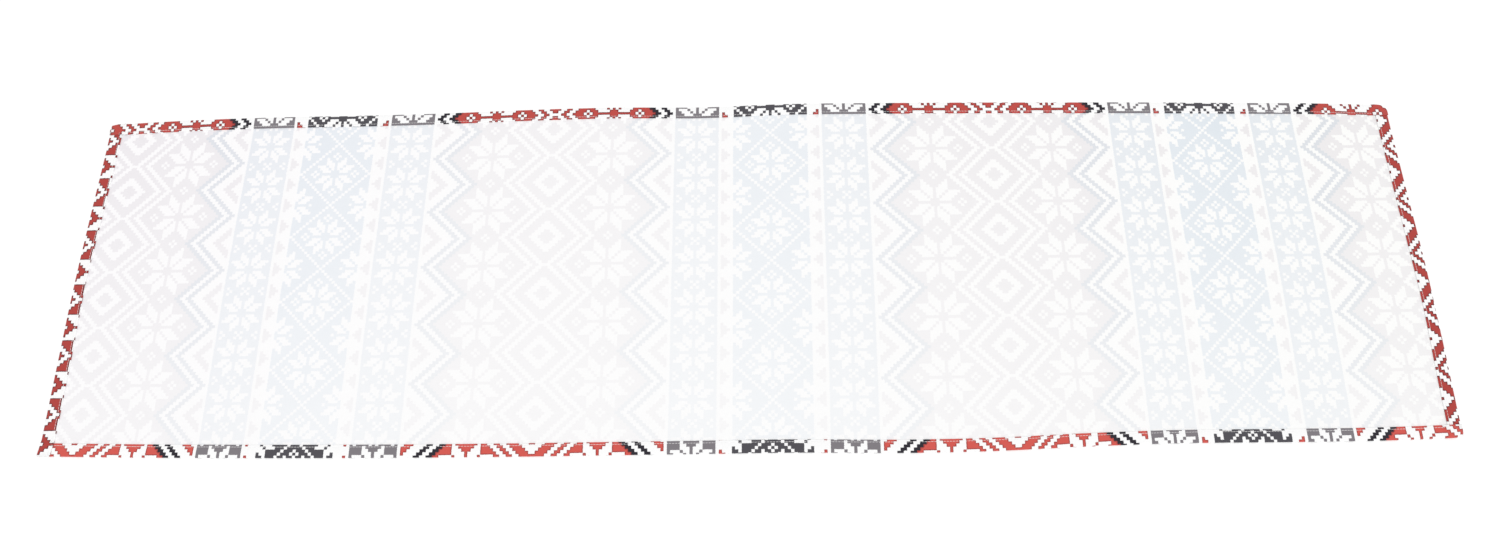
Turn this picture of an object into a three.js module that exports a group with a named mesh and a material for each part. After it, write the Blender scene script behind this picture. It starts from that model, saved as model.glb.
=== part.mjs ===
// A cotton table runner, laid out flat with its reverse side up. One cut length of cloth has
// all four sides turned up on to the reverse in a double-turned hem, mitred at the corners.
// Millimetres, +Z up, lying on z = 0 with the middle of its outline at the origin.

import * as THREE from 'three';
import { mergeVertices } from 'three/addons/utils/BufferGeometryUtils.js';

// Nominal size of the hemmed runner
const HALF_LENGTH = 745;
const HALF_WIDTH = 200;

// Cloth and hem
const CLOTH = 1.0; // thickness of one layer
const LAYER_GAP = 0.4; // air between two folded layers
const HEM = 14; // from the outer fold to the hem's inner edge
const TUCK = 10.5; // raw edge turned in under the hem, back from its inner edge

// How far the two long edges stand proud of the nominal half width, along the length
const LONG_EDGES = [
  { along: -750, far: -8.5, near: -2.5 },
  { along: -650, far: -4, near: 0 },
  { along: -550, far: -1.5, near: 2 },
  { along: -450, far: -1, near: 3.5 },
  { along: -350, far: 0.5, near: 4.5 },
  { along: -250, far: 3.5, near: 5 },
  { along: -150, far: 5, near: 5 },
  { along: -50, far: 3.5, near: 5 },
  { along: 50, far: 6.5, near: 5 },
  { along: 150, far: 6, near: 7 },
  { along: 250, far: 5, near: 6.5 },
  { along: 350, far: 3.5, near: 3 },
  { along: 450, far: 2, near: 1 },
  { along: 550, far: -0.5, near: 1.5 },
  { along: 650, far: -2.5, near: 1.5 },
  { along: 750, far: -6.5, near: -0.5 },
];

// How far the two short ends stand proud of the nominal half length, across the width
const SHORT_ENDS = [
  { across: -200, left: -1.5, right: -2.5 },
  { across: -100, left: -1.5, right: -0.5 },
  { across: 0, left: -2, right: 0.5 },
  { across: 100, left: -4.5, right: -1 },
  { across: 200, left: -7.5, right: -2.5 },
];

// Facets
const LENGTH_STEPS = 48;
const WIDTH_STEPS = 14;
const OUTER_FOLD_STEPS = 6;
const INNER_FOLD_STEPS = 4;
const TUCK_FOLD_STEPS = 2;

// A smooth reading of one column of a table whose rows are evenly spaced
function tableCurve(rows, positionKey, valueKey) {
  const first = rows[0][positionKey];
  const span = rows[rows.length - 1][positionKey] - first;
  const curve = new THREE.SplineCurve(
    rows.map((row) => new THREE.Vector2(row[positionKey], row[valueKey])),
  );
  return (position) => {
    const share = THREE.MathUtils.clamp((position - first) / span, 0, 1);
    return curve.getPoint(share).y;
  };
}

const farEdge = tableCurve(LONG_EDGES, 'along', 'far');
const nearEdge = tableCurve(LONG_EDGES, 'along', 'near');
const leftEnd = tableCurve(SHORT_ENDS, 'across', 'left');
const rightEnd = tableCurve(SHORT_ENDS, 'across', 'right');

// The place of a point given as shares of the length and width, from 0 to 1, on the cloth whose
// outline is drawn in by `inset` on every side. Equal insets on two sides give the mitre.
function placeOnCloth(shareAlong, shareAcross, inset) {
  const across = (2 * shareAcross - 1) * (HALF_WIDTH - inset);
  const x = THREE.MathUtils.lerp(
    -HALF_LENGTH - leftEnd(across) + inset,
    HALF_LENGTH + rightEnd(across) - inset,
    shareAlong,
  );
  const y = THREE.MathUtils.lerp(
    -HALF_WIDTH - nearEdge(x) + inset,
    HALF_WIDTH + farEdge(x) - inset,
    shareAcross,
  );
  return new THREE.Vector2(x, y);
}

// Points of a half-circle turn in the hem's section, x being the inset and y the height
function turn(centre, radius, startAngle, endAngle, steps, clockwise) {
  const arc = new THREE.EllipseCurve(
    centre.x, centre.y, radius, radius, startAngle, endAngle, clockwise, 0,
  );
  return arc.getPoints(steps);
}

// The back-and-forth section of the hem: out along the underside, round the outer fold, in over
// the top layer, round the inner fold, out and back along the tucked layer, and round to the
// upper side of the ground cloth
function hemSection() {
  const height = 3 * CLOTH + 2 * LAYER_GAP;
  const outerRadius = height / 2;
  const innerRadius = (2 * CLOTH + LAYER_GAP) / 2;
  const rawEdge = HEM - TUCK;
  const tuckBottom = CLOTH + LAYER_GAP;
  const tuckTop = 2 * CLOTH + LAYER_GAP;
  const outerCentre = new THREE.Vector2(outerRadius, outerRadius);
  const innerCentre = new THREE.Vector2(HEM - innerRadius, tuckBottom + innerRadius);
  const down = -Math.PI / 2;
  const up = Math.PI / 2;
  return [
    ...turn(outerCentre, outerRadius, down, up, OUTER_FOLD_STEPS, true),
    ...turn(innerCentre, innerRadius, up, down, INNER_FOLD_STEPS, true),
    new THREE.Vector2(rawEdge, tuckBottom),
    new THREE.Vector2(rawEdge, tuckTop),
    ...turn(innerCentre, LAYER_GAP / 2, down, up, TUCK_FOLD_STEPS, false),
    ...turn(outerCentre, outerRadius - CLOTH, up, down, INNER_FOLD_STEPS, false),
  ];
}

// The runner is a slab whose side walls, drawn out, are folded back over it: the slab's levels
// from bottom to top are the points of the hem's section
function runnerGeometry() {
  const section = hemSection();
  const levels = section.length - 1;
  const slab = new THREE.BoxGeometry(1, 1, 1, LENGTH_STEPS, WIDTH_STEPS, levels);
  slab.deleteAttribute('normal');
  slab.deleteAttribute('uv');
  const position = slab.getAttribute('position');
  for (let i = 0; i < position.count; i += 1) {
    const shareAlong = Math.round((position.getX(i) + 0.5) * LENGTH_STEPS) / LENGTH_STEPS;
    const shareAcross = Math.round((position.getY(i) + 0.5) * WIDTH_STEPS) / WIDTH_STEPS;
    const level = section[Math.round((position.getZ(i) + 0.5) * levels)];
    const place = placeOnCloth(shareAlong, shareAcross, level.x);
    position.setXYZ(i, place.x, place.y, level.y);
  }
  const geometry = mergeVertices(slab);
  geometry.computeBoundingBox();
  const middle = geometry.boundingBox.getCenter(new THREE.Vector3());
  geometry.translate(-middle.x, -middle.y, 0);
  geometry.computeVertexNormals();
  return geometry;
}

const printedCotton = new THREE.MeshStandardMaterial({
  name: 'printed_cotton',
  color: 0xf1eff1,
  roughness: 0.9,
  metalness: 0,
});

const runner = new THREE.Mesh(runnerGeometry(), printedCotton);
runner.name = 'runner';

const tableRunner = new THREE.Group();
tableRunner.add(runner);

export default tableRunner;
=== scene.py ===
"""A printed cotton table runner, spread out flat with its pale reverse side up.

Its four sides are turned up on to the reverse in a double-turned hem, so the strong colours of
the printed face show along the hems. The right side is turned first, then the near, left and far
sides, each folded square over the ends of those before it. The print is a charted pattern in
the manner of Nordic knitting: panels of eight-petalled stars and nested diamonds between
zigzag borders, and bands of smaller stars. A white topstitch holds the hem.
"""

import math
import random

import bmesh
import bpy
from bpy.props import FloatProperty, FloatVectorProperty, IntProperty, PointerProperty
from mathutils import Matrix, Vector, noise
from mathutils.bvhtree import BVHTree


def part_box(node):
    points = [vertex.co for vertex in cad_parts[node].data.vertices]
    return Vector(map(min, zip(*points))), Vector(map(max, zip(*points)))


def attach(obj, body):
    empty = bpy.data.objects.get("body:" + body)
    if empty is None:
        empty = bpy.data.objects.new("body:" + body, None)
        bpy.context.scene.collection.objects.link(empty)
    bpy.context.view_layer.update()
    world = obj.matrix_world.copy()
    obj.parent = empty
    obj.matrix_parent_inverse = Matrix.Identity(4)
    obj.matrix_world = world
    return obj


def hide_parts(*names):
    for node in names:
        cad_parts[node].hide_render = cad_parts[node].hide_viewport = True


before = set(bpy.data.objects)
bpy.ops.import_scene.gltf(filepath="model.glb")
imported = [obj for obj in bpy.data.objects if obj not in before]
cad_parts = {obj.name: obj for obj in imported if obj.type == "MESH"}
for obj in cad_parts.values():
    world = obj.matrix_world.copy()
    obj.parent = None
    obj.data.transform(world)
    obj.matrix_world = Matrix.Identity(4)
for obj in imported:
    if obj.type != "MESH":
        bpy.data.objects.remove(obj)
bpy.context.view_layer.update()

bl_info = {
    "name": "Star Band Table Runner",
    "version": (1, 0, 0),
    "blender": (4, 5, 0),
    "location": "3D View > Sidebar > Table Runner",
    "description": "Builds a hemmed cotton table runner with a charted star and zigzag print",
    "category": "Object",
}

MM = 0.001
NODE = "runner"
CLOTH_NAME = "runner_cloth"
STITCH_NAME = "topstitching"
PRINT_MAP = "print"
THREAD_MAP = "thread"

# How much lighter the red is drawn on the long hems as a painted sheen, where light falls on them,
# stored on the cloth under this name
SHEEN_ATTRIBUTE = "painted_sheen"
SHEEN_BY_SIDE = {"near": 1.0, "far": 0.35}

# The chart: the print lies in square cells, counted along the cloth from a line of diamonds and
# across it from a row of stars. These are the cells on which the four folds lie.
CELL = 3.3 * MM
LEFT_FOLD_CELL = {"ground": -11.7, "hem": -12.1}
RIGHT_FOLD_CELL = {"ground": 439.6, "hem": 440.3}

# How many cells the print leans by from the near side to the far one, and half of its repeat,
# along the cloth and across it
LEAN = 0.36
HALF_REPEAT = 74.5
PANEL_HALF_ROWS = 10

# How many of each band's rows go into one of the panels' rows, which are a little higher
SMALL_STAR_ROWS = 25 / 24
LARGE_STAR_ROWS = 36 / 35

# The hem's turned-up part, and its topstitching's distance from the inner edge
HEM = 14 * MM
STITCH_MARGIN = 2.5 * MM

# At a corner, one hem is folded over the other's end and climbs over it within the ramp. Its own
# end lies this far in from the outline, first at its top and then where it is turned down.
FLAP_ENDS = {1: 0.1 * MM, 2: -0.25 * MM}
RAMP = 5 * MM

# How the print lies at even steps along the length: the rows on which the two long folds lie,
# how far in millimetres the print has crept along the cloth from an even spread, and how far in
# cells it has slid along the two long hems
PRINT_LIE = [
    {"near_row": -63.8, "far_row": 57.3, "creep": 0, "slide_near": -0.7, "slide_far": -0.9},
    {"near_row": -63.8, "far_row": 57.6, "creep": -9.5, "slide_near": -0.6, "slide_far": -0.5},
    {"near_row": -63.9, "far_row": 57.5, "creep": -15.5, "slide_near": -0.5, "slide_far": -0.1},
    {"near_row": -63.8, "far_row": 57.6, "creep": -14, "slide_near": -0.35, "slide_far": 0.1},
    {"near_row": -63.6, "far_row": 57.6, "creep": -12, "slide_near": -0.2, "slide_far": 0.2},
    {"near_row": -63.4, "far_row": 57.4, "creep": -8.5, "slide_near": 0, "slide_far": 0.3},
    {"near_row": -63.8, "far_row": 57.4, "creep": -2, "slide_near": 0.2, "slide_far": 0.25},
    {"near_row": -63.6, "far_row": 57.2, "creep": 3, "slide_near": 0.45, "slide_far": 0.4},
    {"near_row": -62.8, "far_row": 57.4, "creep": 3.5, "slide_near": 0.45, "slide_far": 0.5},
    {"near_row": -62.9, "far_row": 57.2, "creep": 2, "slide_near": 0.4, "slide_far": 0.6},
    {"near_row": -62.8, "far_row": 56.3, "creep": 0, "slide_near": 0.5, "slide_far": 1.0},
]

# How far in cells the print has slid along the short hems, at the near and the far end
SHORT_HEM_SLIDE = {"left": (0.0, 0.45), "right": (0.0, 0.0)}

# Where each short side's hem is narrowest, in shares of the width: how much of the hem is lost
# there, and how many cells further out the cloth is folded
WAISTS = {
    "left": {"across": 0.5, "reach": 0.17, "narrowing": 0.12, "cells_out": 0.25},
    "right": {"across": 0.36, "reach": 0.14, "narrowing": 0.09, "cells_out": 0.4},
}

# Each corner: across which axis the hem on top is folded, 0 for a short side's hem and 1 for a
# long side's, and how far its tip is drawn in from a sharp one, or pulled out, over what reach.
# A loose tip is pulled by itself, and one that isn't takes the whole width of the hem along.
CORNERS = [
    {"along": 0, "across": 0, "over": 0, "in_x": -1.3 * MM, "in_y": 0.2 * MM, "reach": 8 * MM,
     "loose": 0},
    {"along": 1, "across": 0, "over": 1, "in_x": 1.0 * MM, "in_y": 1.0 * MM, "reach": 6 * MM,
     "loose": 1},
    {"along": 0, "across": 1, "over": 1, "in_x": 1.2 * MM, "in_y": 1.3 * MM, "reach": 6 * MM,
     "loose": 1},
    {"along": 1, "across": 1, "over": 1, "in_x": 2.2 * MM, "in_y": 2.2 * MM, "reach": 5 * MM,
     "loose": 1},
]

# The cloth lies on the stitches of its underside
UNDER_STITCH = 0.15 * MM

# The cloth's unevenness: the swells' size along and across, the puckers' size, how far in from
# the hem the puckers reach, and the two slices through the noise that they are read from
SWELL_ALONG = 0.16
SWELL_ACROSS = 0.11
PUCKER_SIZE = 0.016
PUCKER_REACH = 14 * MM
SWELL_SLICE = 3.7
PUCKER_SLICE = 9.2

# How the stitches differ: the start of the random draws, how far a stitch turns either way, and
# the least and greatest share of the set length. Its heading is read this share of a side ahead.
STITCH_SEED = 11
STITCH_TURN = 0.05
STITCH_LENGTHS = (0.93, 1.04)
LOOK_AHEAD = 0.001

# The thread's height as a share of its width, and the painted shade that darkens it in the grooves
# between its plies
THREAD_HEIGHT = 0.8
GROOVE_SHADE = (214, 212, 214)

# Where the outline is met: how far from each side's ends, and at what share of the height
SCAN_MARGIN = 30 * MM
SCAN_HEIGHT = 0.45

# The inks' ragged edges on the two faces, and the width of the red ink's dark rim, in cells
FACE_RAGGED = 0.10
REVERSE_RAGGED = 0.30
RIM_WIDTH = 0.34

# The colours that a colour Mix node takes are its seventh and eighth inputs, and the numbers
# that a float Mix node takes are its third and fourth
MIX_COLOURS = (6, 7)
MIX_NUMBERS = (2, 3)

# The stage
FLOOR_REACH = 6.0
FLOOR_GLOW = 0.16
LAMP_SPREAD = math.radians(35)
LAMP_TURN = (math.radians(24), math.radians(14), 0)
SENSOR_MM = 36

# Facets
STEPS_ALONG = 280
STEPS_ACROSS = 76
OUTER_FOLD_STEPS = 8
INNER_FOLD_STEPS = 6
EDGE_SAMPLES = 96

# The levels on the hem's top, as shares of the way from the outer fold to the stitching, and then
# from the stitching to the inner fold, and the last level of them
TOP_SHARES = (0.1, 0.3, 0.5, 0.7, 0.88, 1.0)
LIP_SHARES = (0.4, 0.75)
TOP_LEVELS = OUTER_FOLD_STEPS + len(TOP_SHARES) + len(LIP_SHARES)

# How far the ground cloth's lines are moved towards the hems at most, as a share of its size
CROWDING = 0.11


def linear(red, green, blue):
    """A display colour, 0 to 255 for each part, as the linear values that a shader takes."""
    def part(value):
        share = value / 255
        return share / 12.92 if share <= 0.04045 else ((share + 0.055) / 1.055) ** 2.4
    return (part(red), part(green), part(blue), 1.0)


def lerp(start, end, share):
    return start + (end - start) * share


def length_property(name, description, default_mm):
    return FloatProperty(
        name=name, description=description, default=default_mm * MM, min=0.0,
        unit="LENGTH", precision=5,
    )


def colour_property(name, description, *display):
    return FloatVectorProperty(
        name=name, description=description, default=linear(*display), size=4,
        min=0.0, max=1.0, subtype="COLOR",
    )


# ---------------------------------------------------------------------------- settings


class RunnerClothSettings(bpy.types.PropertyGroup):
    """Sizes of the cloth and its hem"""

    thickness: length_property("Thickness", "Thickness of one layer of cloth", 0.42)
    layer_gap: length_property("Layer gap", "Air between two folded layers", 0.06)
    tuck: length_property("Tuck", "Raw edge turned in under the hem", 10.5)
    puff: length_property("Puff", "Rise of the hem between its fold and its stitching", 0.35)
    swell: length_property("Swell", "Height of the broad unevenness in the cloth", 0.5)
    pucker: length_property("Pucker", "Height of the small ripples beside the stitching", 0.3)
    threads: IntProperty(
        name="Threads", description="Threads of the weave in one cell of the chart",
        default=6, min=1,
    )


class RunnerPrintSettings(bpy.types.PropertyGroup):
    """Colours of the printed face and of its show-through on the reverse"""

    cloth: colour_property("Cloth", "Bleached cotton with no ink on it", 254, 254, 254)
    red: colour_property("Red", "Ground of the star panels", 178, 64, 58)
    rim_red: colour_property("Rim red", "The red ink's dark rim", 98, 30, 34)
    # A painted sheen: the same red ink, drawn lighter along the long hems as light falls on them
    sheen_lit_red: colour_property("Long red", "The same red along the near hem", 214, 88, 79)
    black: colour_property("Black", "Lines of the zigzag border", 38, 34, 44)
    grey: colour_property("Grey", "Ground of the small-star bands", 128, 123, 128)
    charcoal: colour_property("Charcoal", "Ground of the large-star bands", 78, 76, 82)
    pale_red: colour_property("Pale red", "Red seen from the reverse", 235, 232, 235)
    pale_black: colour_property("Pale black", "Black seen from the reverse", 214, 219, 227)
    pale_grey: colour_property("Pale grey", "Grey seen from the reverse", 226, 232, 239)
    pale_charcoal: colour_property("Pale charcoal", "Charcoal from the reverse", 220, 229, 238)
    left_tinge: colour_property("Left tinge", "Lilac cast of the left end", 255, 253, 255)
    right_tinge: colour_property("Right tinge", "Cream cast of the right end", 255, 255, 253)


class RunnerStitchSettings(bpy.types.PropertyGroup):
    """Sizes and colour of the topstitching"""

    pitch: length_property("Pitch", "From one stitch to the next", 3.1)
    length: length_property("Length", "Length of one stitch that shows", 2.95)
    width: length_property("Width", "Width of the thread", 0.5)
    thread: colour_property("Thread", "Colour of the sewing thread", 250, 249, 249)


class RunnerStageSettings(bpy.types.PropertyGroup):
    """The floor, the light and the camera"""

    floor: colour_property("Floor", "Colour of the floor", 246, 246, 246)
    sky: FloatProperty(name="Sky", description="Strength of the even light", default=0.75)
    lamp: FloatProperty(name="Lamp", description="Strength of the soft lamp", default=0.9)
    camera: FloatVectorProperty(
        name="Camera", description="Place of the camera", default=(0.0003, -0.45695, 1.181),
        size=3, subtype="TRANSLATION", unit="LENGTH",
    )
    tilt: FloatProperty(
        name="Tilt", description="How far the camera looks up from straight down",
        default=math.radians(20.661), subtype="ANGLE",
    )
    roll: FloatProperty(
        name="Roll", description="Turn of the camera about its own line of sight",
        default=math.radians(-0.832), subtype="ANGLE",
    )
    lens: FloatProperty(name="Lens", description="Focal length in millimetres", default=27.52)


# ------------------------------------------------------------------------- the outline


class Outline:
    """The runner's outline, read from the CAD solid, and places on the cloth inside it."""

    def __init__(self):
        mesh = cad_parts[NODE].data
        corners = [vertex.co for vertex in mesh.vertices]
        tree = BVHTree.FromPolygons(corners, [face.vertices for face in mesh.polygons])
        self.low, self.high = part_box(NODE)
        self.far = self.edge(tree, 1, 1)
        self.near = self.edge(tree, 1, -1)
        self.right = self.edge(tree, 0, 1)
        self.left = self.edge(tree, 0, -1)

    def edge(self, tree, axis, side):
        """How far out one side's fold lies, met from outside at even steps along the side."""
        level = lerp(self.low.z, self.high.z, SCAN_HEIGHT)
        start = self.low[1 - axis] + SCAN_MARGIN
        end = self.high[1 - axis] - SCAN_MARGIN
        readings = []
        for step in range(EDGE_SAMPLES + 1):
            origin = Vector((0, 0, level))
            origin[1 - axis] = lerp(start, end, step / EDGE_SAMPLES)
            origin[axis] = side
            direction = Vector((0, 0, 0))
            direction[axis] = -side
            readings.append(tree.ray_cast(origin, direction)[0][axis])

        def read(position):
            place = (position - start) / (end - start) * EDGE_SAMPLES
            step = min(max(int(place), 0), EDGE_SAMPLES - 1)
            return lerp(readings[step], readings[step + 1], place - step)

        return read

    def place(self, along, across, insets):
        """Where shares of the length and width lie, with the outline drawn in by the insets."""
        half_width = (self.high.y - self.low.y) / 2 - insets.y
        y = (2 * across - 1) * half_width
        start = self.left(y) + insets.x * hem_share("left", across)
        end = self.right(y) - insets.x * hem_share("right", across)
        x = lerp(start, end, along) + print_lie("creep", along) * MM
        y = lerp(self.near(x) + insets.y, self.far(x) - insets.y, across)
        point = Vector((x, y))
        for corner in CORNERS:
            gap_x = abs(along - corner["along"]) * (end - start) + insets.x * corner["loose"]
            gap_y = abs(across - corner["across"]) * 2 * half_width + insets.y
            pull = math.exp(-(gap_x ** 2 + gap_y ** 2) / corner["reach"] ** 2)
            point.x += pull * corner["in_x"] * (1 - 2 * corner["along"])
            point.y += pull * corner["in_y"] * (1 - 2 * corner["across"])
        return point


def waist(side, across):
    """How much of a short side's narrow place is felt at a share of the width, from 0 to 1."""
    return math.exp(-((across - WAISTS[side]["across"]) / WAISTS[side]["reach"]) ** 2)


def hem_share(side, across):
    """How much of the hem's full width a short side has at a share of the runner's width."""
    return 1 - WAISTS[side]["narrowing"] * waist(side, across)


def print_lie(column, along):
    """A smooth curve through one column of the table of how the print lies."""
    last = len(PRINT_LIE) - 1
    step = min(int(along * last), last - 1)
    part = along * last - step
    before, start, end, after = (
        PRINT_LIE[min(max(step + offset, 0), last)][column] for offset in (-1, 0, 1, 2)
    )
    slope_in = (end - before) / 2
    slope_out = (after - start) / 2
    bend = 2 * (start - end) + slope_in + slope_out
    sag = 3 * (end - start) - 2 * slope_in - slope_out
    return ((bend * part + sag) * part + slope_in) * part + start


def unevenness(cloth, point, distance_in):
    """How far the cloth stands off the table: broad swells, and puckers by the hem's stitching."""
    broad = noise.noise(Vector((point.x / SWELL_ALONG, point.y / SWELL_ACROSS, SWELL_SLICE)))
    small = noise.noise(Vector((point.x / PUCKER_SIZE, point.y / PUCKER_SIZE, PUCKER_SLICE)))
    near_hem = math.exp(-max(distance_in - HEM, 0) / PUCKER_REACH)
    return cloth.swell * (0.5 + 0.5 * broad) ** 2 + cloth.pucker * (0.5 + 0.5 * small) * near_hem


# --------------------------------------------------------------------------- the cloth


class HemLevel:
    """One line along the hem: its inset and height, and the cloth's length from the fold."""

    def __init__(self, inset, height, run):
        self.inset = inset
        self.height = height
        self.run = run


def hem_section(cloth):
    """The hem's path from the ground cloth: round the outer fold, in over the top, round the
    inner fold, and out along the tucked layer to its raw edge."""
    step = cloth.thickness + cloth.layer_gap
    ground = UNDER_STITCH + cloth.thickness / 2
    outer = step + cloth.thickness / 2
    levels = []
    for index in range(OUTER_FOLD_STEPS + 1):
        angle = math.pi * (index / OUTER_FOLD_STEPS - 0.5)
        inset = outer - step * math.cos(angle)
        height = ground + step + step * math.sin(angle)
        levels.append(HemLevel(inset, height, step * angle))
    stitch_line = HEM - STITCH_MARGIN
    quarter = step * math.pi / 2
    for share in TOP_SHARES:
        inset = lerp(outer, stitch_line, share)
        rise = cloth.puff * math.sin(math.pi * share) ** 0.7 if share < 1 else 0.0
        levels.append(HemLevel(inset, ground + 2 * step + rise, inset - outer + quarter))
    inner_radius = step / 2
    inner = HEM - cloth.thickness / 2 - inner_radius
    for share in LIP_SHARES:
        inset = lerp(stitch_line, inner, share)
        rise = cloth.puff * 0.4
        levels.append(HemLevel(inset, ground + 2 * step + rise, inset - outer + quarter))
    run = inner - outer + quarter
    for index in range(INNER_FOLD_STEPS + 1):
        angle = math.pi * (0.5 - index / INNER_FOLD_STEPS)
        inset = inner + inner_radius * math.cos(angle)
        height = ground + 1.5 * step + inner_radius * math.sin(angle)
        levels.append(HemLevel(inset, height, run + inner_radius * (math.pi / 2 - angle)))
    run += math.pi * inner_radius
    raw_edge = HEM - cloth.tuck
    levels.append(HemLevel(raw_edge, ground + step, run + inner - raw_edge))
    return levels


def covering_axis(along, across):
    """Across which axis the hem on top is folded at the corner that is nearest."""
    for corner in CORNERS:
        if (corner["along"], corner["across"]) == (round(along), round(across)):
            return corner["over"]


def corner_lift(cloth, axis, insets):
    """How far the hem on top stands up where it crosses the other, for a place this far in."""
    if insets[axis] > HEM:
        return 0.0
    climb = min(max((HEM + RAMP - insets[1 - axis]) / RAMP, 0), 1)
    height = 2 * (cloth.thickness + cloth.layer_gap) + cloth.puff
    return height * climb * climb * (3 - 2 * climb)


def spread(steps):
    """Shares from 0 to 1 for the ground cloth's lines, which lie closer near the hems."""
    def eased(share):
        return share - CROWDING * math.sin(2 * math.pi * share)
    return [eased(index / steps) for index in range(steps + 1)]


def chart_place(along, across, side, level, ground, insets):
    """The chart's coordinates of a corner of a face, in cells."""
    layer = "hem" if side else "ground"
    left, right = LEFT_FOLD_CELL[layer], RIGHT_FOLD_CELL[layer]
    near = print_lie("near_row", along)
    far = print_lie("far_row", along)
    start = ground.run / CELL
    u = lerp(left - start, right + start, along)
    v = lerp(near - start, far + start, across)
    run = level.run / CELL
    if side in ("near", "far"):
        slide = print_lie("slide_" + side, along)
        u += (insets.x - ground.inset) / CELL * (1 - 2 * along) - slide
        v = near - run if side == "near" else far + run
    if side in ("left", "right"):
        slide = lerp(*SHORT_HEM_SLIDE[side], across)
        run = run * hem_share(side, across) + WAISTS[side]["cells_out"] * waist(side, across)
        u = left - run if side == "left" else right + run
        v += (insets.y - ground.inset) / CELL * (1 - 2 * across) - slide
    return u - LEAN * (across - 0.5), v


class ClothMesh:
    """The cloth's middle surface, reverse side up, with its hems folded over.

    Each vertex holds its shares of the length and width, its level in the hem's section, and
    which end of a corner's flap it is, or 0 where it is on none.
    """

    def __init__(self, cloth):
        self.cloth = cloth
        self.outline = Outline()
        self.section = hem_section(cloth)
        self.bm = bmesh.new()
        layers = self.bm.verts.layers
        self.along = layers.float.new("along")
        self.across = layers.float.new("across")
        self.level = layers.int.new("level")
        self.flap = layers.int.new("flap")

    def insets_of(self, vertex):
        """How far in from the outline a vertex lies, along and across."""
        inset = self.section[vertex[self.level]].inset
        insets = Vector((inset, inset))
        if vertex[self.flap]:
            axis = covering_axis(vertex[self.along], vertex[self.across])
            insets[1 - axis] = FLAP_ENDS[vertex[self.flap]]
        return insets

    def settle(self, vertex, lifted=True):
        """Puts a vertex in its place. Lifted, it climbs over the other hem where that is below."""
        along, across = vertex[self.along], vertex[self.across]
        insets = self.insets_of(vertex)
        point = self.outline.place(along, across, insets)
        size = self.outline.high - self.outline.low
        inside = Vector((min(along, 1 - along) * size.x, min(across, 1 - across) * size.y))
        distances = inside + insets
        height = self.section[vertex[self.level]].height
        axis = covering_axis(along, across)
        if lifted and inside[axis] == 0:
            risen = min(vertex[self.level] / OUTER_FOLD_STEPS, 1)
            height += corner_lift(self.cloth, axis, distances) * risen
        if vertex[self.flap] == 2:
            height = self.section[0].height + self.cloth.thickness
        height += unevenness(self.cloth, point, min(distances))
        vertex.co = (point.x, point.y, height)

    def extrude(self, edges):
        """New vertices beyond some edges, and the rim that they make."""
        made = bmesh.ops.extrude_edge_only(self.bm, edges=edges)["geom"]
        vertices = [item for item in made if isinstance(item, bmesh.types.BMVert)]
        rim = [item for item in made if isinstance(item, bmesh.types.BMEdge) and item.is_boundary]
        return vertices, rim

    def lay_ground(self):
        """The ground cloth, out to the bottom of the outer fold."""
        bmesh.ops.create_grid(
            self.bm, x_segments=STEPS_ALONG, y_segments=STEPS_ACROSS, size=0.5,
        )
        alongs = spread(STEPS_ALONG)
        acrosses = spread(STEPS_ACROSS)
        for vertex in self.bm.verts:
            vertex[self.along] = alongs[round((vertex.co.x + 0.5) * STEPS_ALONG)]
            vertex[self.across] = acrosses[round((vertex.co.y + 0.5) * STEPS_ACROSS)]
            self.settle(vertex)

    def fold_hems(self):
        """The hems on all four sides, level by level, mitred so far."""
        rim = [edge for edge in self.bm.edges if edge.is_boundary]
        for index in range(1, len(self.section)):
            vertices, rim = self.extrude(rim)
            for vertex in vertices:
                vertex[self.level] = index
                self.settle(vertex)

    def on_seam(self, edge, corner):
        """Whether an edge lies on a corner's mitre, past the outer fold."""
        place = (corner["along"], corner["across"])
        return all(
            (vertex[self.along], vertex[self.across]) == place
            and vertex[self.level] >= OUTER_FOLD_STEPS
            for vertex in edge.verts
        )

    def fold_corner(self, corner):
        """Opens a corner's mitre and brings the hem on top square over the other's end."""
        seam = [edge for edge in self.bm.edges if self.on_seam(edge, corner)]
        bmesh.ops.split_edges(self.bm, edges=seam)
        layer = (self.along, self.across)[corner["over"]]
        rim = []
        for edge in self.bm.edges:
            if not edge.is_boundary or not self.on_seam(edge, corner):
                continue
            if len({vertex[layer] for vertex in edge.link_faces[0].verts}) == 1:
                rim.append(edge)
                continue
            for vertex in edge.verts:
                if vertex[self.level] > OUTER_FOLD_STEPS:
                    self.settle(vertex, lifted=False)
        for end in FLAP_ENDS:
            vertices, rim = self.extrude(rim)
            for vertex in vertices:
                vertex[self.flap] = end
                self.settle(vertex)
            rim = [
                edge for edge in rim
                if all(vertex[self.flap] == end and vertex[self.level] <= TOP_LEVELS
                       for vertex in edge.verts)
            ]

    def face_up(self):
        """Turns all faces so that the ground cloth's reverse side is up."""
        bmesh.ops.recalc_face_normals(self.bm, faces=self.bm.faces)
        middle = min(self.bm.faces, key=lambda face: face.calc_center_median().length)
        if middle.normal.z < 0:
            bmesh.ops.reverse_faces(self.bm, faces=self.bm.faces)

    def side_of(self, face):
        """Which hem a face belongs to, or None on the ground cloth."""
        if all(vertex[self.level] == 0 for vertex in face.verts):
            return None
        alongs = {vertex[self.along] for vertex in face.verts}
        acrosses = {vertex[self.across] for vertex in face.verts}
        is_long = len(acrosses) == 1
        if is_long and len(alongs) == 1:
            is_long = covering_axis(*alongs, *acrosses) == 1
        if is_long:
            return "near" if acrosses == {0.0} else "far"
        return "left" if alongs == {0.0} else "right"

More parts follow.
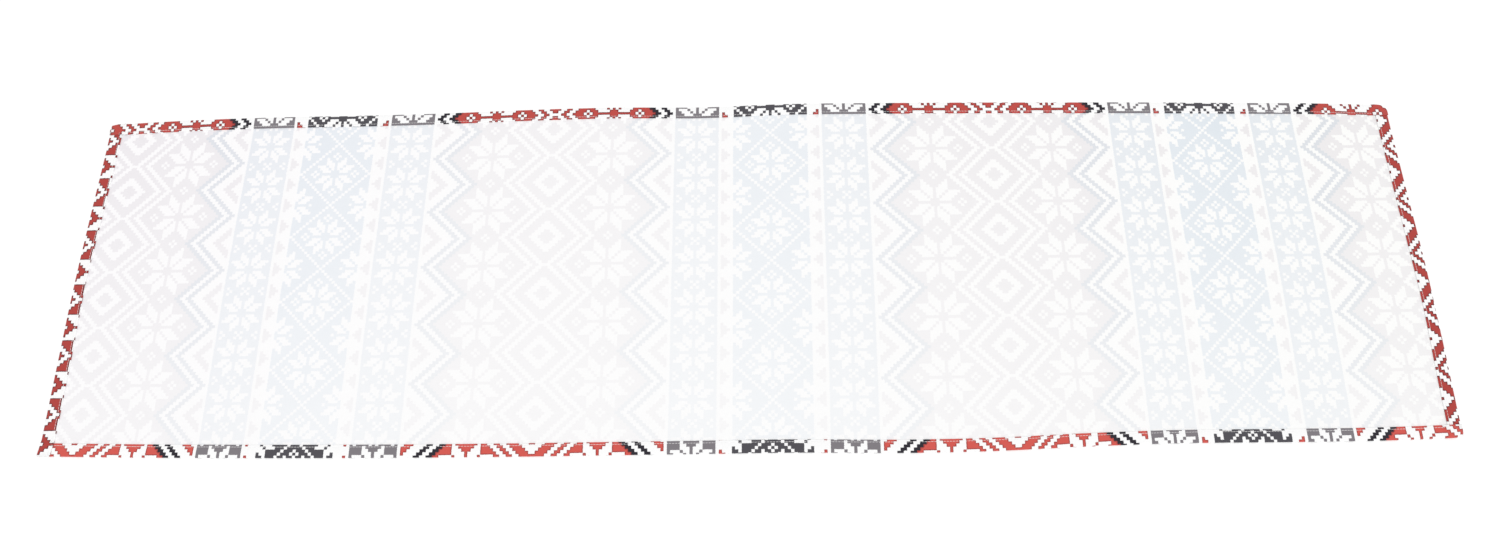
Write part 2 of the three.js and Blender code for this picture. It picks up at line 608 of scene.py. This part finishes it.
    def lay_print(self):
        """The chart's coordinates and the long hems' painted sheen on every corner of every face.
        """
        print_map = self.bm.loops.layers.uv.new(PRINT_MAP)
        sheen_layer = self.bm.loops.layers.float.new(SHEEN_ATTRIBUTE)
        ground = self.section[0]
        for face in self.bm.faces:
            face.smooth = True
            side = self.side_of(face)
            for loop in face.loops:
                vertex = loop.vert
                loop[print_map].uv = chart_place(
                    vertex[self.along], vertex[self.across], side,
                    self.section[vertex[self.level]], ground, self.insets_of(vertex),
                )
                loop[sheen_layer] = SHEEN_BY_SIDE.get(side, 0.0)

    def to_mesh(self):
        mesh = bpy.data.meshes.new(CLOTH_NAME)
        self.bm.to_mesh(mesh)
        self.bm.free()
        for name in ("along", "across", "level", "flap"):
            mesh.attributes.remove(mesh.attributes[name])
        return mesh


def cloth_mesh(cloth):
    """The hemmed cloth, folded and printed."""
    shape = ClothMesh(cloth)
    shape.lay_ground()
    shape.fold_hems()
    for corner in CORNERS:
        shape.fold_corner(corner)
    shape.face_up()
    shape.lay_print()
    return shape.to_mesh()


# ------------------------------------------------------------------------ the materials


class Nodes:
    """Adds nodes to one tree. A value may be a number or another node's output."""

    def __init__(self, tree):
        self.tree = tree

    def add(self, kind, **settings):
        node = self.tree.nodes.new(kind)
        for name, value in settings.items():
            setattr(node, name, value)
        return node

    def put(self, socket, value):
        if isinstance(value, bpy.types.NodeSocket):
            self.tree.links.new(value, socket)
        else:
            socket.default_value = value

    def math(self, operation, *values):
        node = self.add("ShaderNodeMath", operation=operation)
        for socket, value in zip(node.inputs, values):
            self.put(socket, value)
        return node.outputs[0]

    def within(self, value, low, high):
        """1 where a whole number lies from low to high, and 0 elsewhere."""
        return self.math("COMPARE", value, (low + high) / 2, (high - low) / 2 + 0.4)

    def either(self, first, *others):
        for other in others:
            first = self.math("MAXIMUM", first, other)
        return first

    def both(self, first, *others):
        for other in others:
            first = self.math("MULTIPLY", first, other)
        return first

    def outside(self, value):
        return self.math("SUBTRACT", 1.0, value)

    def gap(self, value, centre):
        """Distance in cells from a line of the chart."""
        return self.math("ABSOLUTE", self.math("SUBTRACT", value, centre))

    def mix(self, share, start, end, blend_type="MIX"):
        """A colour between two others, or the first one blended with the second."""
        node = self.add("ShaderNodeMix", data_type="RGBA", blend_type=blend_type)
        self.put(node.inputs["Factor"], share)
        for index, colour in zip(MIX_COLOURS, (start, end)):
            self.put(node.inputs[index], colour)
        return node.outputs[2]

    def noise(self, vector, scale, detail=2.0):
        node = self.add("ShaderNodeTexNoise")
        self.put(node.inputs["Vector"], vector)
        self.put(node.inputs["Scale"], scale)
        self.put(node.inputs["Detail"], detail)
        return node.outputs["Fac"]


def star(nodes, across, along, reach):
    """Eight pointed petals round a centre, with one cell left free between them."""
    longer = nodes.math("MAXIMUM", across, along)
    shorter = nodes.math("MINIMUM", across, along)
    lean = nodes.math("SUBTRACT", longer, shorter)
    return nodes.both(nodes.within(shorter, 1, reach), nodes.within(lean, 1, reach))


def flower(nodes, across, along):
    """Four cells round an open centre."""
    return nodes.within(nodes.math("ADD", across, along), 1, 1)


def star_panel(nodes, column, row):
    """The star panel's red ground and the zigzag border's black lines."""
    diamond_row = nodes.math("SUBTRACT", PANEL_HALF_ROWS, row)
    ring = nodes.math("ADD", column, diamond_row)
    diamond = nodes.both(
        nodes.either(
            nodes.within(ring, 3, 5), nodes.within(ring, 10, 11), nodes.within(ring, 14, 15),
        ),
        nodes.within(column, 0, 19),
    )
    from_star = nodes.gap(column, 20)
    white = nodes.either(
        diamond,
        star(nodes, from_star, row, 4),
        flower(nodes, nodes.gap(from_star, 9), row),
        flower(nodes, from_star, diamond_row),
    )
    zigzag = nodes.math("ADD", column, row)
    border = nodes.both(nodes.within(column, 25, 40), nodes.within(zigzag, 35, 50))
    lines = nodes.either(nodes.within(zigzag, 35, 36), nodes.within(zigzag, 39, 40))
    field = nodes.both(nodes.within(column, 0, 40), nodes.outside(nodes.either(white, border)))
    red = nodes.either(field, nodes.both(border, nodes.within(zigzag, 45, 47)))
    return red, nodes.both(border, lines)


def small_star_band(nodes, column, band_row):
    """The small-star band's grey ground."""
    row = nodes.math("PINGPONG", band_row, 8)
    halfway = nodes.math("SUBTRACT", 8, row)
    from_star = nodes.gap(column, 49)
    lean = nodes.math("SUBTRACT", from_star, halfway)
    marks = nodes.both(
        nodes.within(halfway, 0, 1),
        nodes.either(nodes.within(lean, 0, 0), nodes.within(lean, 5, 5)),
    )
    white = nodes.either(star(nodes, from_star, row, 3), marks)
    return nodes.both(nodes.within(column, 42, 56), nodes.outside(white))


def large_star_band(nodes, column, band_row):
    """The large-star band's charcoal ground and the red triangles beside it."""
    triangle_row = nodes.math("PINGPONG", band_row, 4)
    triangle = nodes.both(
        nodes.within(column, 58, 60),
        nodes.within(nodes.math("ADD", column, triangle_row), 58, 60),
    )
    row = nodes.math("PINGPONG", band_row, 12)
    star_row = nodes.math("SUBTRACT", 12, row)
    from_star = nodes.gap(column, 74)
    white = nodes.either(
        star(nodes, from_star, star_row, 3),
        nodes.within(nodes.math("ADD", from_star, star_row), 12, 12),
        flower(nodes, nodes.gap(from_star, 7), star_row),
        flower(nodes, from_star, nodes.gap(star_row, 7)),
        star(nodes, nodes.gap(from_star, 13), row, 3),
        nodes.both(nodes.within(from_star, 7, 7), nodes.within(row, 0, 0)),
    )
    return nodes.both(nodes.within(column, 62, 74), nodes.outside(white)), triangle


def chart_group():
    """A node group that turns the chart's coordinates into the place of each ink."""
    tree = bpy.data.node_groups.new("star_chart", "ShaderNodeTree")
    tree.interface.new_socket("Cell", in_out="INPUT", socket_type="NodeSocketVector")
    for ink in ("Red", "Black", "Grey", "Charcoal"):
        tree.interface.new_socket(ink, in_out="OUTPUT", socket_type="NodeSocketFloat")
    nodes = Nodes(tree)
    given = nodes.add("NodeGroupInput")
    result = nodes.add("NodeGroupOutput")
    split = nodes.add("ShaderNodeSeparateXYZ")
    nodes.put(split.inputs[0], given.outputs["Cell"])
    from_diamond = nodes.math("PINGPONG", split.outputs["X"], HALF_REPEAT)
    column = nodes.math("FLOOR", nodes.math("MINIMUM", from_diamond, HALF_REPEAT - 0.01))
    panel_row = nodes.math("ROUND", split.outputs["Y"])
    row = nodes.math("PINGPONG", panel_row, PANEL_HALF_ROWS)

    def band_row(rows_per_panel_row):
        return nodes.math("ROUND", nodes.math("MULTIPLY", split.outputs["Y"], rows_per_panel_row))

    red, black = star_panel(nodes, column, row)
    grey = small_star_band(nodes, column, band_row(SMALL_STAR_ROWS))
    charcoal, triangle = large_star_band(nodes, column, band_row(LARGE_STAR_ROWS))
    nodes.put(result.inputs["Red"], nodes.either(red, triangle))
    nodes.put(result.inputs["Black"], black)
    nodes.put(result.inputs["Grey"], grey)
    nodes.put(result.inputs["Charcoal"], charcoal)
    return tree


def weave(nodes, cell, threads):
    """Height of a plain weave, from 0 in the gaps to 1 on the threads' crowns."""
    split = nodes.add("ShaderNodeSeparateXYZ")
    nodes.put(split.inputs[0], cell)
    along = nodes.math("MULTIPLY", split.outputs["X"], threads)
    across = nodes.math("MULTIPLY", split.outputs["Y"], threads)

    def crown(value):
        return nodes.math("SINE", nodes.math("MULTIPLY", nodes.math("FRACT", value), math.pi))

    crossing = nodes.math("ADD", nodes.math("FLOOR", along), nodes.math("FLOOR", across))
    turn = nodes.math("ABSOLUTE", nodes.math("MODULO", crossing, 2))
    warp = nodes.both(crown(along), nodes.math("MULTIPLY_ADD", crown(across), 0.6, 0.4))
    weft = nodes.both(crown(across), nodes.math("MULTIPLY_ADD", crown(along), 0.6, 0.4))
    node = nodes.add("ShaderNodeMix", data_type="FLOAT")
    nodes.put(node.inputs["Factor"], turn)
    for index, thread in zip(MIX_NUMBERS, (warp, weft)):
        nodes.put(node.inputs[index], thread)
    return node.outputs[0]


def ragged(nodes, cell, threads, amount):
    """The chart's coordinates, shifted a little on each crossing of threads, as ink spreads."""
    scaled = nodes.add("ShaderNodeVectorMath", operation="SCALE")
    nodes.put(scaled.inputs[0], cell)
    nodes.put(scaled.inputs["Scale"], threads)
    whole = nodes.add("ShaderNodeVectorMath", operation="FLOOR")
    nodes.put(whole.inputs[0], scaled.outputs[0])
    chance = nodes.add("ShaderNodeTexWhiteNoise", noise_dimensions="2D")
    nodes.put(chance.inputs["Vector"], whole.outputs[0])
    centred = nodes.add("ShaderNodeVectorMath", operation="SUBTRACT")
    nodes.put(centred.inputs[0], chance.outputs["Color"])
    nodes.put(centred.inputs[1], (0.5, 0.5, 0.5))
    shift = nodes.add("ShaderNodeVectorMath", operation="SCALE")
    nodes.put(shift.inputs[0], centred.outputs[0])
    nodes.put(shift.inputs["Scale"], amount)
    total = nodes.add("ShaderNodeVectorMath", operation="ADD")
    nodes.put(total.inputs[0], cell)
    nodes.put(total.inputs[1], shift.outputs[0])
    return total.outputs[0]


def new_material(name):
    material = bpy.data.materials.new(name)
    material.use_nodes = True
    shader = material.node_tree.nodes["Principled BSDF"]
    return material, Nodes(material.node_tree), shader


class Cotton:
    """A cotton material's shared start: weave, sheen, and the chart read at ragged cells."""

    def __init__(self, name, chart_tree, threads, raggedness):
        self.material, self.nodes, self.shader = new_material(name)
        nodes, shader = self.nodes, self.shader
        source = nodes.add("ShaderNodeUVMap", uv_map=PRINT_MAP)
        self.cell = source.outputs["UV"]
        self.inked = ragged(nodes, self.cell, threads, raggedness)
        self.chart = nodes.add("ShaderNodeGroup", node_tree=chart_tree)
        nodes.put(self.chart.inputs["Cell"], self.inked)
        self.height = weave(nodes, self.cell, threads)
        shader.inputs["Roughness"].default_value = 0.86
        shader.inputs["Specular IOR Level"].default_value = 0.25
        shader.inputs["Sheen Weight"].default_value = 0.08
        shader.inputs["Sheen Roughness"].default_value = 0.5
        bump = nodes.add("ShaderNodeBump")
        bump.inputs["Strength"].default_value = 0.35
        bump.inputs["Distance"].default_value = 0.12 * MM
        nodes.put(bump.inputs["Height"], self.height)
        nodes.put(shader.inputs["Normal"], bump.outputs["Normal"])

    def dye(self, start, red, black, grey, charcoal):
        """Lays the four inks over a starting colour."""
        colour = start
        for ink, value in (("Red", red), ("Black", black), ("Grey", grey), ("Charcoal", charcoal)):
            colour = self.nodes.mix(self.chart.outputs[ink], colour, value)
        return colour

    def finish(self, colour):
        self.nodes.put(self.shader.inputs["Base Color"], colour)
        return self.material


def red_rim(nodes, chart_tree, cell, width):
    """1 within a rim of this width round the red ink, and 0 inside it."""
    inside = 1.0
    for offset in ((width, 0, 0), (-width, 0, 0), (0, width, 0), (0, -width, 0)):
        moved = nodes.add("ShaderNodeVectorMath", operation="ADD")
        nodes.put(moved.inputs[0], cell)
        nodes.put(moved.inputs[1], offset)
        beside = nodes.add("ShaderNodeGroup", node_tree=chart_tree)
        nodes.put(beside.inputs["Cell"], moved.outputs[0])
        inside = nodes.both(inside, beside.outputs["Red"])
    return nodes.outside(inside)


def printed_face(settings, threads, chart_tree):
    """The printed face: strong inks, a little uneven, with cloth showing between the threads."""
    cotton = Cotton("printed_face", chart_tree, threads, FACE_RAGGED)
    nodes = cotton.nodes
    # Painted sheen: the red is drawn lighter on the long hems, and its dark rim is weaker there
    sheen_share = nodes.add("ShaderNodeAttribute", attribute_name=SHEEN_ATTRIBUTE)
    red = nodes.mix(sheen_share.outputs["Fac"], tuple(settings.red), tuple(settings.sheen_lit_red))
    strength = nodes.math("MULTIPLY_ADD", sheen_share.outputs["Fac"], -0.4, 0.9)
    rim = nodes.math("MULTIPLY", red_rim(nodes, chart_tree, cotton.inked, RIM_WIDTH), strength)
    red = nodes.mix(rim, red, tuple(settings.rim_red))
    patchy = nodes.math("MULTIPLY_ADD", nodes.noise(cotton.cell, 0.9, 3.0), 0.006, -0.001)
    thin = nodes.math("MULTIPLY_ADD", nodes.outside(cotton.height), 0.012, patchy)
    inks = cotton.dye(
        tuple(settings.cloth), red, tuple(settings.black), tuple(settings.grey),
        tuple(settings.charcoal),
    )
    return cotton.finish(nodes.mix(thin, inks, tuple(settings.cloth)))


def pale_reverse(settings, threads, chart_tree):
    """The reverse: bleached cotton with the print showing faintly through it."""
    cotton = Cotton("pale_reverse", chart_tree, threads, REVERSE_RAGGED)
    nodes = cotton.nodes
    inks = cotton.dye(
        tuple(settings.cloth), tuple(settings.pale_red), tuple(settings.pale_black),
        tuple(settings.pale_grey), tuple(settings.pale_charcoal),
    )
    position = along_share(nodes, cotton.cell)
    tinge = nodes.mix(position, tuple(settings.left_tinge), tuple(settings.right_tinge))
    inks = nodes.mix(1.0, inks, tinge, blend_type="MULTIPLY")
    # Painted light: the show-through is drawn fainter where the light falls stronger
    strength = show_through_and_painted_light(nodes, cotton.cell, position)
    return cotton.finish(nodes.mix(strength, tuple(settings.cloth), inks))


def along_share(nodes, cell):
    """How far along the runner a cell lies, from 0 at the left end to 1 at the right."""
    split = nodes.add("ShaderNodeSeparateXYZ")
    nodes.put(split.inputs[0], cell)
    start = LEFT_FOLD_CELL["ground"]
    length = RIGHT_FOLD_CELL["ground"] - start
    return nodes.math("MULTIPLY_ADD", split.outputs["X"], 1 / length, -start / length)


def show_through_and_painted_light(nodes, cell, position):
    """How much of the print shows on the reverse: least to the left of the middle, and less along
    the near edge than along the far one, as painted light that washes it out where the light falls
    stronger; with a soft patchiness over all."""
    split = nodes.add("ShaderNodeSeparateXYZ")
    nodes.put(split.inputs[0], cell)
    turn = nodes.math("MULTIPLY_ADD", position, 2 * math.pi, 0.2 * math.pi)
    along = nodes.math("MULTIPLY_ADD", nodes.math("COSINE", turn), 0.11, 0.46)
    across = nodes.math("MULTIPLY_ADD", split.outputs["Y"], 0.0066, 1.06)
    patchy = nodes.math("MULTIPLY_ADD", nodes.noise(cell, 0.05, 3.0), 0.3, 0.85)
    return nodes.both(along, across, patchy)


def sewing_thread(settings):
    """White sewing thread of two plies, twisted."""
    material, nodes, shader = new_material("sewing_thread")
    source = nodes.add("ShaderNodeUVMap", uv_map=THREAD_MAP)
    split = nodes.add("ShaderNodeSeparateXYZ")
    nodes.put(split.inputs[0], source.outputs["UV"])
    twist = nodes.math("MULTIPLY_ADD", split.outputs["Y"], 5.0, split.outputs["X"])
    ply = nodes.math("ABSOLUTE", nodes.math("SINE", nodes.math("MULTIPLY", twist, 2 * math.pi)))
    # Painted shade: the thread is drawn darker in the grooves between its plies
    shade_share = nodes.math("MULTIPLY", nodes.outside(ply), 0.2)
    colour = nodes.mix(shade_share, tuple(settings.thread), linear(*GROOVE_SHADE))
    nodes.put(shader.inputs["Base Color"], colour)
    shader.inputs["Roughness"].default_value = 0.6
    shader.inputs["Sheen Weight"].default_value = 0.15
    bump = nodes.add("ShaderNodeBump")
    bump.inputs["Strength"].default_value = 0.5
    bump.inputs["Distance"].default_value = 0.1 * MM
    nodes.put(bump.inputs["Height"], ply)
    nodes.put(shader.inputs["Normal"], bump.outputs["Normal"])
    return material


# ------------------------------------------------------------------------- the operators


def add_piece(name, mesh, *materials):
    """An object of the runner, at the origin, riding on its one body."""
    piece = bpy.data.objects.new(name, mesh)
    bpy.context.scene.collection.objects.link(piece)
    for material in materials:
        mesh.materials.append(material)
    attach(piece, "root")
    return piece


def stitch_grain():
    """One stitch's shape, a metre long up Z: thread that dips into the cloth at both ends."""
    bm = bmesh.new()
    bm.loops.layers.uv.new(THREAD_MAP)
    bmesh.ops.create_uvsphere(bm, u_segments=6, v_segments=6, radius=0.5, calc_uvs=True)
    for face in bm.faces:
        face.smooth = True
    mesh = bpy.data.meshes.new("stitch_grain")
    bm.to_mesh(mesh)
    bm.free()
    return mesh


class RUNNER_OT_cloth(bpy.types.Operator):
    """Make the runner's cloth with its double-turned hems"""

    bl_idname = "runner.cloth"
    bl_label = "Cloth and Hems"

    def execute(self, context):
        cloth = context.scene.runner_cloth
        chart = chart_group()
        inks = context.scene.runner_print
        reverse = pale_reverse(inks, cloth.threads, chart)
        face = printed_face(inks, cloth.threads, chart)
        piece = add_piece(CLOTH_NAME, cloth_mesh(cloth), reverse, face)
        shell = piece.modifiers.new("thickness", "SOLIDIFY")
        shell.thickness = cloth.thickness
        shell.offset = 0.0
        shell.material_offset = 1
        shell.material_offset_rim = 0
        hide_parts(NODE)
        return {"FINISHED"}


def stitch_mesh(cloth, sewing):
    """Every stitch of the topstitching, on top of the hem and on the underside by turns."""
    outline = Outline()
    size = outline.high - outline.low
    inset = HEM - STITCH_MARGIN
    insets = Vector((inset, inset))
    top = UNDER_STITCH + cloth.thickness + 2 * (cloth.thickness + cloth.layer_gap)
    chance = random.Random(STITCH_SEED)
    grain = stitch_grain()
    bm = bmesh.new()
    sides = (((0, 0), (1, 0)), ((1, 0), (1, 1)), ((1, 1), (0, 1)), ((0, 1), (0, 0)))
    for start, end in sides:
        way = Vector(end) - Vector(start)
        length = (outline.place(*start, insets) - outline.place(*end, insets)).length
        count = round(length / sewing.pitch)
        for index in range(2 * count):
            share = (index / 2 + 0.5) / (count + 0.5)
            along = lerp(start[0], end[0], share)
            across = lerp(start[1], end[1], share)
            point = outline.place(along, across, insets)
            ahead = outline.place(
                along + way.x * LOOK_AHEAD, across + way.y * LOOK_AHEAD, insets,
            )
            heading = math.atan2(ahead.y - point.y, ahead.x - point.x)
            heading += chance.uniform(-STITCH_TURN, STITCH_TURN)
            height = unevenness(cloth, point, inset)
            if index % 2 == 1:
                height += sewing.width / 2
            else:
                inside = Vector((min(along, 1 - along) * size.x, min(across, 1 - across) * size.y))
                axis = covering_axis(along, across)
                height += top + corner_lift(cloth, axis, inside + insets)
            stitch = grain.copy()
            stitch.transform(
                Matrix.Translation((point.x, point.y, height))
                @ Matrix.Rotation(heading, 4, "Z")
                @ Matrix.Rotation(math.pi / 2, 4, "Y")
                @ Matrix.Diagonal((
                    sewing.width * THREAD_HEIGHT, sewing.width,
                    sewing.length * chance.uniform(*STITCH_LENGTHS), 1,
                ))
            )
            bm.from_mesh(stitch)
            bpy.data.meshes.remove(stitch)
    mesh = bpy.data.meshes.new(STITCH_NAME)
    bm.to_mesh(mesh)
    bm.free()
    bpy.data.meshes.remove(grain)
    return mesh


class RUNNER_OT_topstitching(bpy.types.Operator):
    """Sew the white topstitch along the inner edge of all four hems"""

    bl_idname = "runner.topstitching"
    bl_label = "Topstitching"

    def execute(self, context):
        cloth = context.scene.runner_cloth
        sewing = context.scene.runner_stitches
        stitches = add_piece(STITCH_NAME, stitch_mesh(cloth, sewing), sewing_thread(sewing))
        return {"FINISHED"}


def floor_material(settings):
    """A matt floor that the camera sees a little brighter than it is, so it shows as white."""
    material, nodes, shader = new_material("pale_floor")
    shader.inputs["Base Color"].default_value = tuple(settings.floor)
    shader.inputs["Roughness"].default_value = 1.0
    shader.inputs["Specular IOR Level"].default_value = 0.0
    ray = nodes.add("ShaderNodeLightPath")
    seen = nodes.math("ADD", ray.outputs["Is Camera Ray"], ray.outputs["Is Glossy Ray"])
    seen = nodes.math("ADD", seen, ray.outputs["Is Transmission Ray"])
    shader.inputs["Emission Color"].default_value = (1, 1, 1, 1)
    nodes.put(shader.inputs["Emission Strength"], nodes.math("MULTIPLY", seen, FLOOR_GLOW))
    return material


def add_floor(scene, settings):
    """The plain floor that the runner lies on."""
    bm = bmesh.new()
    bmesh.ops.create_grid(bm, x_segments=4, y_segments=4, size=FLOOR_REACH)
    mesh = bpy.data.meshes.new("floor")
    bm.to_mesh(mesh)
    bm.free()
    mesh.materials.append(floor_material(settings))
    floor = bpy.data.objects.new("floor", mesh)
    scene.collection.objects.link(floor)


def add_light(scene, settings):
    """An even light from all round, which the camera sees as white, and one soft lamp."""
    world = bpy.data.worlds.new("even_light")
    world.use_nodes = True
    nodes = Nodes(world.node_tree)
    sky = world.node_tree.nodes["Background"]
    sky.inputs["Color"].default_value = (1, 1, 1, 1)
    is_seen = nodes.add("ShaderNodeLightPath").outputs["Is Camera Ray"]
    seen = nodes.math("MULTIPLY_ADD", is_seen, 1 - settings.sky, settings.sky)
    nodes.put(sky.inputs["Strength"], seen)
    scene.world = world
    lamp = bpy.data.lights.new("soft_lamp", "SUN")
    lamp.energy = settings.lamp
    lamp.angle = LAMP_SPREAD
    holder = bpy.data.objects.new("soft_lamp", lamp)
    holder.rotation_euler = LAMP_TURN
    scene.collection.objects.link(holder)


def add_camera(scene, settings):
    """The camera, in front of the runner and above it."""
    camera = bpy.data.cameras.new("camera")
    camera.lens = settings.lens
    camera.sensor_width = SENSOR_MM
    camera.clip_start = 0.05
    holder = bpy.data.objects.new("camera", camera)
    holder.matrix_world = (
        Matrix.Translation(settings.camera)
        @ Matrix.Rotation(settings.tilt, 4, "X")
        @ Matrix.Rotation(settings.roll, 4, "Z")
    )
    scene.collection.objects.link(holder)
    scene.camera = holder


class RUNNER_OT_stage(bpy.types.Operator):
    """Set up the plain pale floor, the soft light and the camera"""

    bl_idname = "runner.stage"
    bl_label = "Stage"

    def execute(self, context):
        scene = context.scene
        settings = scene.runner_stage
        add_floor(scene, settings)
        add_light(scene, settings)
        add_camera(scene, settings)
        scene.view_settings.view_transform = "Standard"
        return {"FINISHED"}


class RUNNER_PT_panel(bpy.types.Panel):
    """The table runner's steps and settings"""

    bl_label = "Table Runner"
    bl_idname = "RUNNER_PT_panel"
    bl_space_type = "VIEW_3D"
    bl_region_type = "UI"
    bl_category = "Table Runner"

    def draw(self, context):
        scene = context.scene
        steps = (
            (RUNNER_OT_cloth, (scene.runner_cloth, scene.runner_print)),
            (RUNNER_OT_topstitching, (scene.runner_stitches,)),
            (RUNNER_OT_stage, (scene.runner_stage,)),
        )
        for operator, groups in steps:
            box = self.layout.box()
            box.operator(operator.bl_idname)
            for settings in groups:
                for name in settings.__annotations__:
                    box.prop(settings, name)


SETTINGS = {
    "runner_cloth": RunnerClothSettings,
    "runner_print": RunnerPrintSettings,
    "runner_stitches": RunnerStitchSettings,
    "runner_stage": RunnerStageSettings,
}
CLASSES = (
    *SETTINGS.values(),
    RUNNER_OT_cloth,
    RUNNER_OT_topstitching,
    RUNNER_OT_stage,
    RUNNER_PT_panel,
)


def register():
    for item in CLASSES:
        bpy.utils.register_class(item)
    for name, group in SETTINGS.items():
        setattr(bpy.types.Scene, name, PointerProperty(type=group))


def unregister():
    for name in SETTINGS:
        delattr(bpy.types.Scene, name)
    for item in reversed(CLASSES):
        bpy.utils.unregister_class(item)


def main():
    register()
    bpy.ops.runner.cloth()
    bpy.ops.runner.topstitching()
    bpy.ops.runner.stage()


if __name__ == "__main__":
    main()
